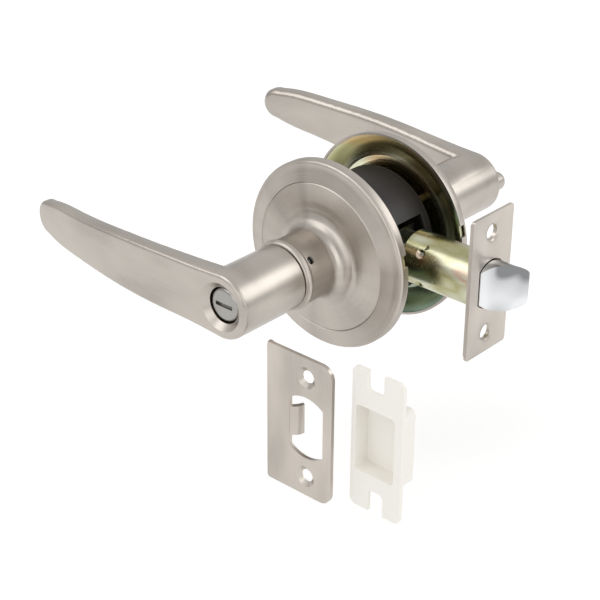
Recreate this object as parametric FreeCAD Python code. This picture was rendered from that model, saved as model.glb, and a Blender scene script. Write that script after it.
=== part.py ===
import FreeCAD, Part
import math
import os

# Cylindrical privacy lever lock, in millimetres.
# X points to the latch, Y runs along the spindle with the outside lever at -Y, Z is up.
# The origin is where the spindle axis meets the latch axis.
# Pieces of one side are drawn towards +Y with h measured outwards from the door face;
# the outside set is mirrored.

V = FreeCAD.Vector
SIDES = ("outside", "inside")

# Door and layout
BACKSET = 60.0
DOOR_FACE = {"outside": 20.1, "inside": 12.9}
INSIDE_REST_ANGLE = 6.0
RUN_FIT = 0.06
COIL_STEPS = 10

# Rose cover
ROSE_R = 37.8
ROSE_SHEET = 0.9
ROSE_RIM_H = 4.1
GROOVE_R = 29.7
GROOVE_H = 6.2
DISH_R = 20.5
DISH_H = 7.5
NECK_R = 13.2
NECK_FOOT_H = 13.6
BEAD_R = 14.0
BEAD_H = 26.2
BEAD_TOP_H = 28.2
RELEASE_HOLE_R = 1.5
RELEASE_H = 23.1
RELEASE_ANGLE = 40.0
NOTCH_Z = (6.4, 10.9)
NOTCH_DEPTH = 2.3
TAB_SLIT_Z = 2.4
TAB_SLIT = (0.5, 1.3)

# Plate inside the rose
LINER_SHEET = 1.0
LINER_RIM_H = 0.4
LINER_FLOOR_H = 5.2
LINER_RING_R = (25.1, 27.0)
LINER_RING_STEP = 0.5
LINER_COLLAR_R = 14.2
LINER_COLLAR_H = 2.8

# Lever
HUB_R = 12.8
HUB_START_H = 28.5
HUB_END_H = 60.4
HUB_EDGE = 1.6
SHANK_R = 11.6
SHANK_START_H = 16.9
GRIP_LENGTH = 109.6
GRIP_FLAT_SHARE = 0.32
GRIP_SWEEP_R = 320.0
GRIP_HALF_HEIGHTS = ((0.25, 11.7), (0.5, 10.75), (0.75, 9.1), (0.91, 7.5))
GRIP_TIP_HALF = 6.9
GRIP_JOIN_ANGLE = 4.5
GRIP_THICKNESS = ((0.13, 8.6), (0.32, 7.6), (0.5, 7.2), (0.75, 6.8), (1.0, 6.3))
GRIP_BACK_ROUND = 2.8
DISH_FACE_R = 9.5
DISH_FLOOR_R = 7.1
DISH_DEPTH = 2.1

# Lever spindle, hub sleeve and catch
SPINDLE_R = 9.5
SPINDLE_WALL = 1.5
HUB_END_WALL = 15.6
SPINDLE_START = 5.3
COLLAR_R = 10.9
COLLAR_LENGTH = 3.3
KEY_WIDTH = 3.0
KEY_R = 10.5
KEY_LENGTH = 13.5
KEY_MARGIN = 1.3
SLEEVE_R = 11.8
SLEEVE_END_H = 16.5
SLEEVE_FLANGE = (14.0, 1.5)
CAM_ANGLE = 67.5
CAM_RADIUS = 15.68
CAM_ROUND = 1.6
CATCH_NOSE_R = 1.3
CATCH_NOSE_REACH = 11.3
CATCH_BODY = (5.4, 7.6, 5.0, 6.0)
CATCH_SPRING_WIRE = 0.4

# Lock turn
BAR_SIZE = (5.0, 2.4)
DISC_R = 6.5
DISC_RECESS = 2.0
DISC_THICK = 3.0
COIN_SLOT = (8.2, 1.6, 1.4)
STEM_R = 4.0
STEM_LENGTH = 18.4
SOCKET_DEPTH = 8.0
WING = (22.0, 8.0, 6.9)
WING_GAP = 0.35
WING_ROUND = 2.6
LOCK_CAM = (7.2, 5.0, 2.5)

# Chassis
CAN_R = 25.6
CAN_WALL = 1.5
CAN_HALF = 10.5
CAP_THICK = 1.5
WINDOW_HALF_Y = 7.0
WINDOW_HALF_Z = 13.6
SCREW_CIRCLE_R = 20.5
SCREW_ANGLES = (45.0, 225.0)
SCREW_R = 1.9
SCREW_HEAD = (3.2, 0.75)
BOSS = (3.2, 4.0)

# Retractor
SLIDE_X = (-9.0, 20.5)
SLIDE_HALF_Y = 4.6
SLIDE_HALF_Z = 10.5
SLIDE_SLOT_X = (-4.5, 18.0)
SLIDE_SLOT_HALF_Z = 4.3
SLIDE_PIN_R = 2.0
SLIDE_PIN_Z = 15.1
SLIDE_PIN_REACH = 8.3
SLIDE_SPRING_Z = 7.4
SLIDE_POCKET_R = 2.2
SLIDE_POCKET_END = 9.0
RETRACTOR_COIL = (1.5, 0.5, -20.6, 8.8, 11)
GUIDE_R = (22.7, 24.1)
GUIDE_RAIL_Z = (10.9, 12.6)
GUIDE_RAIL_X = (-20.0, 12.0)

# Latch
TUBE_R = 10.5
TUBE_WALL = 1.0
TUBE_START_X = 26.0
PLATE_HEIGHT = 57.15
PLATE_WIDTH = 24.5
PLATE_CORNER = 3.0
FACEPLATE_THICK = 1.2
BACKPLATE_THICK = 1.0
SCREW_SPACING = 41.3
PLATE_HOLE_R = 2.5
PLATE_SINK_R = 4.2
BOLT_R = 9.4
BOLT_HOLE_R = 9.8
BOLT_HOLE_CHORD = -7.0
BOLT_FLATS = (-6.7, 8.0)
BOLT_REAR_X = 48.5
BOLT_THROW = 12.0
BEVEL_START = (60.5, -6.7)
BEVEL_END_Y = 6.4
TAIL_HALF = (1.5, 2.0)
TAIL_HEAD = (15.2, 17.6, 3.8)
BUSH_CUP_R = 7.2
BUSH_END_X = 36.0
BUSH_FLOOR = 2.0
LATCH_COIL = (5.4, 0.9)
PRONG_Y = (5.2, 6.4)
PRONG_X = 19.0
PRONG_HALF_Z = 6.0
STAKE_X = 34.0
STAKE_ANGLE = 37.0
STAKE = (2.2, 0.9, 0.8)
TUBE_SLOT = ((0.7, 7.6), (2.6, 8.4), (1.0, 9.2))

# Strike plate and dust box, both upright beside the lock
STRIKE_LEFT = 18.74
STRIKE_FRONT = -76.0
STRIKE_Z = -37.0
STRIKE_WIDTH = 30.5
STRIKE_THICK = 1.5
STRIKE_HOLE_U = 18.5
STRIKE_D = (12.6, 18.6, 10.8, 26.5)
STRIKE_CORNERS = (1.2, 5.0)
TANG_HALF = 6.0
LIP_DEPTH = 3.5
BOX_LEFT = 53.8
BOX_FRONT = -70.6
BOX_Z = -34.8
BOX_WIDTH = 22.6
BOX_HEIGHT = 57.0
BOX_FLANGE = 1.5
BOX_CORNER = 2.7
BOX_MOUTH = (1.9, 19.2, 13.4)
BOX_CUP = (0.7, 21.5, 15.0)
BOX_DEPTH = 8.5
BOX_FLOOR = 1.4
BOX_TOP_NOTCH = (6.9, 14.0, 20.5)
BOX_BOTTOM_NOTCH = (8.4, 14.9, 19.7)


# Worked out from the sizes above
GRIP_FLAT_TO = GRIP_LENGTH * GRIP_FLAT_SHARE
DISH_FLOOR_H = HUB_END_H - DISH_DEPTH
DISC_TOP_H = HUB_END_H - DISC_RECESS
SPINDLE_END_H = HUB_END_H - HUB_END_WALL
KEY_END_H = SPINDLE_END_H - KEY_MARGIN
STEM_START_H = HUB_END_H - STEM_LENGTH
WING_START_H = HUB_END_H + WING_GAP


def save(name, shape):
    """Write one piece as its own STEP file."""
    if len(shape.Solids) != 1:
        raise ValueError("%s holds %d solids" % (name, len(shape.Solids)))
    shape.exportStep("parts/%s.step" % name)


def wire_path(points):
    """Closed wire through points; a pair of points is an arc's middle and end."""
    edges = []
    here = V(*points[0])
    for step in points[1:] + [points[0]]:
        if isinstance(step[0], tuple):
            middle, end = V(*step[0]), V(*step[1])
            edges.append(Part.Arc(here, middle, end).toShape())
        else:
            end = V(*step)
            if end.distanceToPoint(here) > 1e-6:
                edges.append(Part.makeLine(here, end))
        here = end
    return Part.Wire(edges)


def lift(step, place):
    """Carry a flat point, or an arc's two points, into space."""
    if isinstance(step[0], tuple):
        return tuple(place(*p) for p in step)
    return place(*step)


def turned(profile):
    """Solid of revolution about Y from (radius, h) points."""
    points = [lift(step, lambda r, h: (r, h, 0.0)) for step in profile]
    return Part.Face(wire_path(points)).revolve(V(0, 0, 0), V(0, 1, 0), 360)


def plate_xz(profile, y0, y1):
    """Prism along Y over an (x, z) outline."""
    points = [lift(step, lambda x, z: (x, y0, z)) for step in profile]
    return Part.Face(wire_path(points)).extrude(V(0, y1 - y0, 0))


def plate_yz(profile, x0, x1):
    """Prism along X over a (y, z) outline."""
    points = [lift(step, lambda y, z: (x0, y, z)) for step in profile]
    return Part.Face(wire_path(points)).extrude(V(x1 - x0, 0, 0))


def block(x0, x1, y0, y1, z0, z1):
    """Box between two corners."""
    return Part.makeBox(x1 - x0, y1 - y0, z1 - z0, V(x0, y0, z0))


def rod_y(radius, y0, y1, x=0.0, z=0.0):
    """Cylinder along Y."""
    return Part.makeCylinder(radius, y1 - y0, V(x, y0, z), V(0, 1, 0))


def rod_x(radius, x0, x1, y=0.0, z=0.0):
    """Cylinder along X."""
    return Part.makeCylinder(radius, x1 - x0, V(x0, y, z), V(1, 0, 0))


def tube_y(outer, inner, y0, y1):
    """Hollow cylinder along Y."""
    return rod_y(outer, y0, y1).cut(rod_y(inner, y0 - 1, y1 + 1))


def polar(radius, angle):
    """Point at a radius and an angle measured from +X towards +Z."""
    a = math.radians(angle)
    return radius * math.cos(a), radius * math.sin(a)


def spun(shape, angle):
    """Turn about Y so that +X moves towards +Z by the angle."""
    done = shape.copy()
    done.rotate(V(0, 0, 0), V(0, 1, 0), -angle)
    return done


def seat(shape, side, handle=False):
    """Put a piece drawn towards +Y on its side of the door."""
    if side == "outside":
        return shape.mirror(V(0, 0, 0), V(0, 1, 0))
    return spun(shape, -INSIDE_REST_ANGLE) if handle else shape


def rounded(shape, radius, choose):
    """Fillet the edges that the test picks."""
    edges = [e for e in shape.Edges if choose(e)]
    return shape.makeFillet(radius, edges) if edges else shape


def slot_outline(x0, x1, z0, z1, radius):
    """Rectangle with equal rounded corners."""
    k = radius * (1 - math.sqrt(0.5))
    return [
        (x0 + radius, z0), (x1 - radius, z0), ((x1 - k, z0 + k), (x1, z0 + radius)),
        (x1, z1 - radius), ((x1 - k, z1 - k), (x1 - radius, z1)),
        (x0 + radius, z1), ((x0 + k, z1 - k), (x0, z1 - radius)),
        (x0, z0 + radius), ((x0 + k, z0 + k), (x0 + radius, z0)),
    ]


def rose_cover(face):
    """Domed sheet cover with a drawn neck, rolled bead, release hole and rim notch."""
    t = ROSE_SHEET
    inner_neck = NECK_R - t
    reach, rise = DISH_R - NECK_R, NECK_FOOT_H - DISH_H
    bend = (NECK_R + 0.27 * reach, NECK_FOOT_H - 0.71 * rise)
    profile = [
        (ROSE_R - t, face), (ROSE_R, face), (ROSE_R, face + ROSE_RIM_H - 1.3),
        ((ROSE_R - 0.45, face + ROSE_RIM_H - 0.45), (ROSE_R - 1.7, face + ROSE_RIM_H + 0.05)),
        (GROOVE_R + 0.35, face + GROOVE_H), (GROOVE_R, face + GROOVE_H - 0.3),
        (GROOVE_R - 0.35, face + GROOVE_H), (DISH_R, face + DISH_H),
        ((bend[0], face + bend[1]), (NECK_R, face + NECK_FOOT_H)),
        (NECK_R, face + BEAD_H - 1.4),
        ((BEAD_R, face + BEAD_H), (inner_neck + 0.4, face + BEAD_TOP_H)),
        (inner_neck, face + BEAD_TOP_H), (inner_neck, face + NECK_FOOT_H - 0.2),
        ((bend[0] - t * 0.7, face + bend[1] - t * 0.7), (DISH_R - 0.2 * t, face + DISH_H - t)),
        (GROOVE_R, face + GROOVE_H - t - 0.1),
        (ROSE_R - 2.2, face + ROSE_RIM_H - t + 0.1), (ROSE_R - t, face + ROSE_RIM_H - 1.6),
    ]
    cover = turned(profile)
    low, high = NOTCH_Z
    slit, slit_depth = TAB_SLIT
    cover = cover.cut(block(ROSE_R - 6, ROSE_R + 2, face - 1, face + NOTCH_DEPTH, low, high))
    cover = cover.cut(block(ROSE_R - 6, ROSE_R + 2, face - 1, face + slit_depth,
                            TAB_SLIT_Z - slit, TAB_SLIT_Z))
    hole = Part.makeCylinder(RELEASE_HOLE_R, BEAD_R + 4, V(0, face + RELEASE_H, 0), V(1, 0, 0))
    return cover.cut(spun(hole, RELEASE_ANGLE))


def rose_liner(face):
    """Plated steel plate inside the rose, dished, with a raised ring and a sleeve collar."""
    rim = ROSE_R - ROSE_SHEET - 0.05
    hole = SLEEVE_R + 0.05
    low, floor = face + LINER_RIM_H, face + LINER_FLOOR_H
    t, step = LINER_SHEET, LINER_RING_STEP
    ring0, ring1 = LINER_RING_R
    profile = [
        (rim, low), (rim, low + 1.3 * t), (rim - 1.2 * t, low + 1.3 * t),
        (ring1 + 0.9 * t, floor - 0.3 * t), (ring0 - 0.1 * t, floor), (LINER_COLLAR_R, floor),
        (LINER_COLLAR_R, floor + LINER_COLLAR_H), (hole, floor + LINER_COLLAR_H),
        (hole, floor - t), (ring0 - 0.2 * t, floor - t), (ring0 + 0.3 * t, floor - t - step),
        (ring1 - 0.2 * t, floor - t - step), (ring1 + 0.6 * t, floor - 1.3 * t),
        (rim - 1.6 * t, low),
    ]
    liner = turned(profile)
    for angle in SCREW_ANGLES:
        x, z = polar(SCREW_CIRCLE_R, angle)
        liner = liner.cut(rod_y(SCREW_R + 0.1, face, floor + t, x, z))
    return liner


def grip_front(s):
    """Height of the grip's outer face at a distance from the spindle axis."""
    reach = max(0.0, s - GRIP_FLAT_TO)
    return HUB_END_H - GRIP_SWEEP_R + math.sqrt(GRIP_SWEEP_R ** 2 - reach ** 2)


def grip_side(face):
    """Prism of the lever seen from above: flat at the hub, swept to the door at the tip."""
    near, tip = HUB_R + 1, GRIP_LENGTH + 1
    mid = (GRIP_FLAT_TO + GRIP_LENGTH) / 2
    back = [V(-k * GRIP_LENGTH, face + grip_front(k * GRIP_LENGTH) - t, 0)
            for k, t in reversed(GRIP_THICKNESS)]
    back = [V(-tip, back[0].y - 0.2, 0)] + back[1:] + [V(near, back[-1].y, 0)]
    curve = Part.BSplineCurve()
    curve.interpolate(back)
    start, flat_end = V(near, face + HUB_END_H, 0), V(-GRIP_FLAT_TO, face + HUB_END_H, 0)
    tip_front = V(-tip, face + grip_front(tip), 0)
    edges = [
        Part.makeLine(start, flat_end),
        Part.Arc(flat_end, V(-mid, face + grip_front(mid), 0), tip_front).toShape(),
        Part.makeLine(tip_front, back[0]),
        curve.toShape(),
        Part.makeLine(back[-1], start),
    ]
    height = 2 * HUB_R + 4
    solid = Part.Face(Part.Wire(edges)).extrude(V(0, 0, height))
    solid.translate(V(0, 0, -height / 2))
    return solid


def grip_outline(face):
    """Prism of the lever's outline seen from its face, running into the hub's circle."""
    join_x, join_z = polar(HUB_R, 90.0 + GRIP_JOIN_ANGLE)
    slope = math.tan(math.radians(GRIP_JOIN_ANGLE))
    tip_x = -GRIP_LENGTH + GRIP_TIP_HALF * 0.98
    top = [V(join_x, face, join_z)]
    top += [V(-k * GRIP_LENGTH, face, z) for k, z in GRIP_HALF_HEIGHTS]
    top += [V(tip_x, face, GRIP_TIP_HALF)]
    bottom = [V(p.x, face, -p.z) for p in reversed(top)]
    upper, lower = Part.BSplineCurve(), Part.BSplineCurve()
    upper.interpolate(Points=top, InitialTangent=V(-1, 0, -slope), FinalTangent=V(-1, 0, -0.12))
    lower.interpolate(Points=bottom, InitialTangent=V(1, 0, -0.12), FinalTangent=V(1, 0, -slope))
    edges = [
        upper.toShape(),
        Part.Arc(top[-1], V(-GRIP_LENGTH, face, 0), bottom[0]).toShape(),
        lower.toShape(),
        Part.Arc(bottom[-1], V(HUB_R, face, 0), top[0]).toShape(),
    ]
    return Part.Face(Part.Wire(edges)).extrude(V(0, HUB_END_H + 2, 0))


def lever_grip(face):
    """Grip with its round head over the hub, edges rounded front and back."""
    grip = grip_side(face).common(grip_outline(face)).removeSplitter()

    def rim(edge, back):
        middle = edge.valueAt((edge.FirstParameter + edge.LastParameter) / 2)
        depth = face + grip_front(-middle.x) - middle.y
        across = edge.BoundBox.XLength < 0.01 and edge.BoundBox.XMin > -GRIP_LENGTH + 1
        return not across and (depth > 4 if back else depth < 0.6)

    grip = rounded(grip, HUB_EDGE, lambda e: rim(e, False))
    return rounded(grip, GRIP_BACK_ROUND, lambda e: rim(e, True) and e.BoundBox.ZLength > 0.5)


def lever(face):
    """Lever handle: swept flat grip on a round hub, with shank, stepped bore and keyway."""
    hub = rod_y(HUB_R, face + HUB_START_H, face + HUB_END_H - HUB_EDGE - 0.05)
    hub = rounded(hub, 0.6, lambda e: e.BoundBox.YMax < face + HUB_START_H + 0.01)
    shank = rod_y(SHANK_R, face + SHANK_START_H, face + HUB_START_H + 1)
    body = lever_grip(face).fuse(hub).fuse(shank)
    bore = rod_y(SPINDLE_R + RUN_FIT, face + SHANK_START_H - 1, face + SPINDLE_END_H + 0.4)
    bore = bore.fuse(rod_y(DISH_FLOOR_R, face + SPINDLE_END_H, face + HUB_END_H + 1))
    cone = Part.makeCone(DISH_FLOOR_R, DISH_FACE_R, HUB_END_H - DISH_FLOOR_H,
                         V(0, face + DISH_FLOOR_H, 0), V(0, 1, 0))
    key = block(0, KEY_R + 0.15, face + SHANK_START_H - 1, face + KEY_END_H + 0.3,
                -KEY_WIDTH / 2 - 0.1, KEY_WIDTH / 2 + 0.1)
    body = body.cut(bore).cut(cone).cut(spun(key, 180.0))
    nose = Part.makeCylinder(CATCH_NOSE_R + RUN_FIT, SHANK_R + 0.5,
                             V(0, face + RELEASE_H, 0), V(1, 0, 0))
    return body.cut(spun(nose, RELEASE_ANGLE)).removeSplitter()


def lever_spindle(face):
    """Tube that carries the lever, with a retaining collar and the cam arm."""
    end = face + SPINDLE_END_H
    tube = rod_y(SPINDLE_R, SPINDLE_START, end)
    collar = rod_y(COLLAR_R, SPINDLE_START, SPINDLE_START + COLLAR_LENGTH)
    arm = block(0, CAM_RADIUS, SPINDLE_START, SPINDLE_START + 3, -CAM_ROUND, CAM_ROUND)
    head = rod_y(CAM_ROUND, SPINDLE_START, SPINDLE_START + 3, CAM_RADIUS)
    key = block(0, KEY_R, face + KEY_END_H - KEY_LENGTH, face + KEY_END_H,
                -KEY_WIDTH / 2, KEY_WIDTH / 2)
    solid = tube.fuse(collar).fuse(spun(arm.fuse(head), CAM_ANGLE)).fuse(spun(key, 180.0))
    solid = solid.cut(rod_y(SPINDLE_R - SPINDLE_WALL, 0, end + 1))
    nose = Part.makeCylinder(CATCH_NOSE_R + RUN_FIT, SPINDLE_R + 2,
                             V(0, face + RELEASE_H, 0), V(1, 0, 0))
    return solid.cut(spun(nose, RELEASE_ANGLE)).removeSplitter()


def lever_catch(face):
    """Catch inside the spindle whose nose holds the lever's shank."""
    start, stop, width, length = CATCH_BODY
    mid = face + RELEASE_H
    body = block(start, stop, mid - length / 2, mid + length / 2, -width / 2, width / 2)
    body = body.common(rod_y(SPINDLE_R - SPINDLE_WALL - 0.1, mid - length, mid + length))
    nose = Part.makeCylinder(CATCH_NOSE_R, CATCH_NOSE_REACH - start, V(start, mid, 0), V(1, 0, 0))
    nose = nose.makeChamfer(0.4, [nose.Edges[0]])
    return spun(body.fuse(nose), RELEASE_ANGLE)


def catch_spring(face):
    """Bowed leaf that lies in the spindle and presses the catch outwards."""
    low, wire = CATCH_BODY[0], CATCH_SPRING_WIRE
    mid, half = face + RELEASE_H, 9.0
    wide = CATCH_BODY[2] / 2
    outline = [
        (3.9, mid - half, -wide), ((low, mid, -wide), (3.9, mid + half, -wide)),
        (3.9 - wire, mid + half, -wide),
        ((low - wire, mid, -wide), (3.9 - wire, mid - half, -wide)),
    ]
    leaf = Part.Face(wire_path(outline)).extrude(V(0, 0, 2 * wide))
    return spun(leaf, RELEASE_ANGLE)


def hub_sleeve(face):
    """Sleeve swaged into the chassis cap, the lever spindle's bearing."""
    start = CAN_HALF - CAP_THICK
    radius, thick = SLEEVE_FLANGE
    solid = rod_y(SLEEVE_R, start, face + SLEEVE_END_H)
    solid = solid.fuse(rod_y(radius, CAN_HALF, CAN_HALF + thick))
    return solid.cut(rod_y(SPINDLE_R + RUN_FIT, 0, face + SLEEVE_END_H + 1))


def coil(radius, wire, start, end, turns):
    """Wire wound about Y: square sections joined by flat runs."""
    steps = int(turns * COIL_STEPS)
    half = wire / 2
    sections = []
    for i in range(steps + 1):
        y = start + half + (end - start - wire) * i / steps
        rim = [(radius - half, y), (radius, y - half), (radius + half, y), (radius, y + half)]
        a = 2 * math.pi * i / COIL_STEPS
        corners = [V(r * math.cos(a), h, r * math.sin(a)) for r, h in rim]
        sections.append(Part.makePolygon(corners + corners[:1]))
    return Part.makeLoft(sections, True, True)


def return_spring():
    """Torsion spring round the hub sleeve that brings the lever back level."""
    start = CAN_HALF + SLEEVE_FLANGE[1] + 0.4
    return coil(SLEEVE_R + 1.7, 1.0, start, start + 4.4, 3)


def chassis_housing():
    """Open-ended can with a window for the latch."""
    half = CAN_HALF - CAP_THICK
    can = tube_y(CAN_R, CAN_R - CAN_WALL, -half, half)
    return can.cut(block(CAN_R - 8, CAN_R + 2, -WINDOW_HALF_Y, WINDOW_HALF_Y,
                         -WINDOW_HALF_Z, WINDOW_HALF_Z))


def chassis_cap():
    """End cap of the chassis with its screw bosses."""
    cap = rod_y(CAN_R, CAN_HALF - CAP_THICK, CAN_HALF)
    radius, length = BOSS
    for angle in SCREW_ANGLES:
        x, z = polar(SCREW_CIRCLE_R, angle)
        cap = cap.fuse(rod_y(radius, CAN_HALF - CAP_THICK - length, CAN_HALF - CAP_THICK, x, z))
        cap = cap.cut(rod_y(SCREW_R + 0.02, 0, CAN_HALF + 1, x, z))
    return cap.cut(rod_y(SLEEVE_R + 0.02, 0, CAN_HALF + 1))


def mounting_screw(angle):
    """Machine screw from the inside plate into the chassis cap."""
    x, z = polar(SCREW_CIRCLE_R, angle)
    radius, height = SCREW_HEAD
    under = DOOR_FACE["inside"] + LINER_FLOOR_H
    screw = rod_y(SCREW_R, CAN_HALF - CAP_THICK - BOSS[1], under, x, z)
    head = rod_y(radius, under, under + height, x, z)
    arm, half = 0.7 * radius, 0.12 * radius
    cross = block(x - arm, x + arm, under + height / 2, under + 2 * height, z - half, z + half)
    cross = cross.fuse(block(x - half, x + half, under + height / 2, under + 2 * height,
                             z - arm, z + arm))
    return screw.fuse(head).cut(cross)


def retractor_slide():
    """Slide that draws the latch tail back, with a cross pin above for the cam arm."""
    x0, x1 = SLIDE_X
    y, z = SLIDE_HALF_Y, SLIDE_HALF_Z
    outline = [(x0, -7.0), (x0 + 1.7, -z), (x1, -z), (x1, z), (x0 + 1.7, z), (x0, 7.0)]
    body = plate_xz(outline, -y, y)
    s0, s1 = SLIDE_SLOT_X
    body = body.cut(block(s0, s1, -y, y, -SLIDE_SLOT_HALF_Z, SLIDE_SLOT_HALF_Z))
    body = body.cut(block(s1 - 1, x1 + 1, -y, y, -TAIL_HALF[1] - 0.3, TAIL_HALF[1] + 0.3))
    for side in (-1, 1):
        body = body.cut(rod_x(SLIDE_POCKET_R, x0 - 1, SLIDE_POCKET_END, 0, side * SLIDE_SPRING_Z))
    ear = block(-0.2, 4.3, -1.6, 1.6, z - 1, SLIDE_PIN_Z)
    pin = rod_y(SLIDE_PIN_R, -SLIDE_PIN_REACH, SLIDE_HALF_Y + 0.2, 2.05, SLIDE_PIN_Z)
    return body.fuse(ear).fuse(pin).removeSplitter()


def retractor_guide():
    """Back shell with rails that the retractor slides between."""
    inner, outer = GUIDE_R
    outer -= RUN_FIT
    low, high = GUIDE_RAIL_Z
    x0, x1 = GUIDE_RAIL_X
    wide = SLIDE_HALF_Y - 0.2
    shell = tube_y(outer, inner, -wide, wide)
    shell = shell.common(block(-outer - 1, -5, -wide, wide, -high, high))
    rails = block(x0 - 1.0, x1, -wide, wide, -high, -low)
    for y in (-wide, 2.0):
        rails = rails.fuse(block(x0 - 1.0, x1, y, y + wide - 2.0, low, high))
    rails = rails.common(rod_y(outer - 0.02, -wide, wide))
    return shell.fuse(rails).removeSplitter()


def coil_x(radius, wire, x0, x1, turns, z=0.0):
    """Compression spring along X."""
    spring = coil(radius, wire, x0, x1, turns)
    spring.rotate(V(0, 0, 0), V(0, 0, 1), -90)
    spring.translate(V(0, 0, z))
    return spring


def emergency_disc(face):
    """Domed disc with a coin slot, and its stem down to the locking bar."""
    top = face + DISC_TOP_H
    base = top - DISC_THICK
    disc = turned([(0, base), (DISC_R, base), (DISC_R, top - 0.9),
                   ((DISC_R - 0.6, top - 0.35), (DISC_R - 1.6, top - 0.15)),
                   ((DISC_R * 0.4, top - 0.02), (0, top))])
    stem = rod_y(STEM_R, face + STEM_START_H, base + 0.5)
    long, wide, deep = COIN_SLOT
    slot = block(-long / 2, long / 2, top - deep, top + 1, -wide / 2, wide / 2)
    solid = disc.fuse(stem).cut(slot)
    return solid.cut(bar_socket(face))


def bar_socket(face):
    """Blind hole that takes the end of the locking bar."""
    tall, wide = BAR_SIZE
    start = face + STEM_START_H
    return block(-wide / 2 - 0.05, wide / 2 + 0.05, start - 1, start + SOCKET_DEPTH + 0.1,
                 -tall / 2 - 0.05, tall / 2 + 0.05)


def turn_button(face):
    """Thumb turn: round base in the hub and a wing across it."""
    long, wide, tall = WING
    start = face + WING_START_H
    r = wide / 2
    outline = slot_outline(-long / 2, long / 2, -r, r, r - RUN_FIT)
    wing = plate_xz(outline, start, start + tall)
    wing = rounded(wing, WING_ROUND, lambda e: e.BoundBox.YMin > start + tall - 0.01)
    base = rod_y(DISC_R - 0.1, face + DISC_TOP_H - DISC_THICK, start + 0.5)
    stem = rod_y(STEM_R, face + STEM_START_H, face + DISC_TOP_H)
    return wing.fuse(base).fuse(stem).cut(bar_socket(face)).removeSplitter()


def locking_bar():
    """Flat bar that joins the thumb turn to the release disc."""
    tall, wide = BAR_SIZE
    y0 = -(DOOR_FACE["outside"] + STEM_START_H + SOCKET_DEPTH)
    y1 = DOOR_FACE["inside"] + STEM_START_H + SOCKET_DEPTH
    return block(-wide / 2, wide / 2, y0, y1, -tall / 2, tall / 2)


def locking_cam():
    """Two-lobed cam on the bar, inside the outside spindle."""
    radius, half, thick = LOCK_CAM
    y0 = -SPINDLE_START - 1.0 - thick
    cam = rod_y(radius, y0, y0 + thick).common(block(-radius, radius, y0, y0 + thick, -half, half))
    tall, wide = BAR_SIZE
    return cam.cut(block(-wide / 2 - 0.02, wide / 2 + 0.02, y0 - 1, y0 + thick + 1,
                         -tall / 2 - 0.02, tall / 2 + 0.02))


def plate_outline_yz():
    """Outline of the faceplate and backplate."""
    return slot_outline(-PLATE_WIDTH / 2, PLATE_WIDTH / 2, -PLATE_HEIGHT / 2, PLATE_HEIGHT / 2,
                        PLATE_CORNER)


def bolt_outline(radius, low, high):
    """Circle cut by one or two upright chords, as (y, z) points."""
    zl = math.sqrt(radius ** 2 - low ** 2)
    if high is None:
        return [(low, -zl), ((radius, 0.0), (low, zl))]
    zh = math.sqrt(radius ** 2 - high ** 2)
    mid = (low + high) / 2
    zm = math.sqrt(radius ** 2 - mid ** 2)
    return [(low, -zl), ((mid, -zm), (high, -zh)), (high, zh), ((mid, zm), (low, zl))]


def latch_plate(x0, x1, countersunk):
    """Faceplate or backplate with its bolt and screw holes."""
    plate = plate_yz(plate_outline_yz(), x0, x1)
    plate = plate.cut(plate_yz(bolt_outline(BOLT_HOLE_R, BOLT_HOLE_CHORD, None), x0 - 1, x1 + 1))
    for z in (-SCREW_SPACING / 2, SCREW_SPACING / 2):
        plate = plate.cut(rod_x(PLATE_HOLE_R, x0 - 1, x1 + 1, 0, z))
        if countersunk:
            plate = plate.cut(Part.makeCone(PLATE_HOLE_R, PLATE_SINK_R, x1 - x0 - 0.2,
                                            V(x0 + 0.2, 0, z), V(1, 0, 0)))
    return plate


def latch_tube():
    """Tube of the latch with staked dimples and locating slots."""
    end = BACKSET - FACEPLATE_THICK - BACKPLATE_THICK
    tube = rod_x(TUBE_R, TUBE_START_X, end).cut(rod_x(TUBE_R - TUBE_WALL, TUBE_START_X - 1, end + 1))
    radius, hole, depth = STAKE
    for side in (-1, 1):
        for turn in (-1, 1):
            a = math.radians(turn * STAKE_ANGLE)
            out = V(0, side * math.cos(a), math.sin(a))
            top = out * (TUBE_R + 0.1) + V(STAKE_X, 0, 0)
            tube = tube.cut(Part.makeCone(radius, hole, depth, top, out * -1))
            tube = tube.cut(Part.makeCylinder(hole, 3, top, out * -1))
        slot = [(STAKE_X + dx, z) for dx, z in TUBE_SLOT]
        tube = tube.cut(plate_xz(slot, side * 3.0, side * 9.0))
    return tube


def latch_bushing():
    """Cup that closes the tube's inner end, with the prongs that enter the chassis."""
    radius = TUBE_R - TUBE_WALL - 0.02
    start = TUBE_START_X
    cup = rod_x(radius, start, BUSH_END_X).cut(rod_x(BUSH_CUP_R, start + BUSH_FLOOR, BUSH_END_X + 1))
    y, z = TAIL_HALF
    cup = cup.cut(block(start - 1, start + 3, -y - 0.4, y + 0.4, -z - 0.4, z + 0.4))
    y0, y1 = PRONG_Y
    for side in (-1, 1):
        low, high = sorted((side * y0, side * y1))
        cup = cup.fuse(block(PRONG_X, start + 1, low, high, -PRONG_HALF_Z, PRONG_HALF_Z))
    return cup.removeSplitter()


def latch_bolt():
    """Spring bolt: round with two flats, bevelled nose."""
    low, high = BOLT_FLATS
    tip = BACKSET + BOLT_THROW
    bolt = plate_yz(bolt_outline(BOLT_R, low, high), BOLT_REAR_X, tip)
    x0, y0 = BEVEL_START
    slope = (BEVEL_END_Y - y0) / (tip - x0)
    side = BOLT_R + 1
    wedge = [(x0, y0 - 0.01, -side), (tip + 1, BEVEL_END_Y + slope, -side), (tip + 1, y0 - 3, -side),
             (x0, y0 - 3, -side)]
    bolt = bolt.cut(Part.Face(wire_path(wedge)).extrude(V(0, 0, 2 * side)))
    return rounded(bolt, 0.5, lambda e: e.BoundBox.XMin > tip - 2.5 and e.BoundBox.ZLength > 2)


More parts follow.
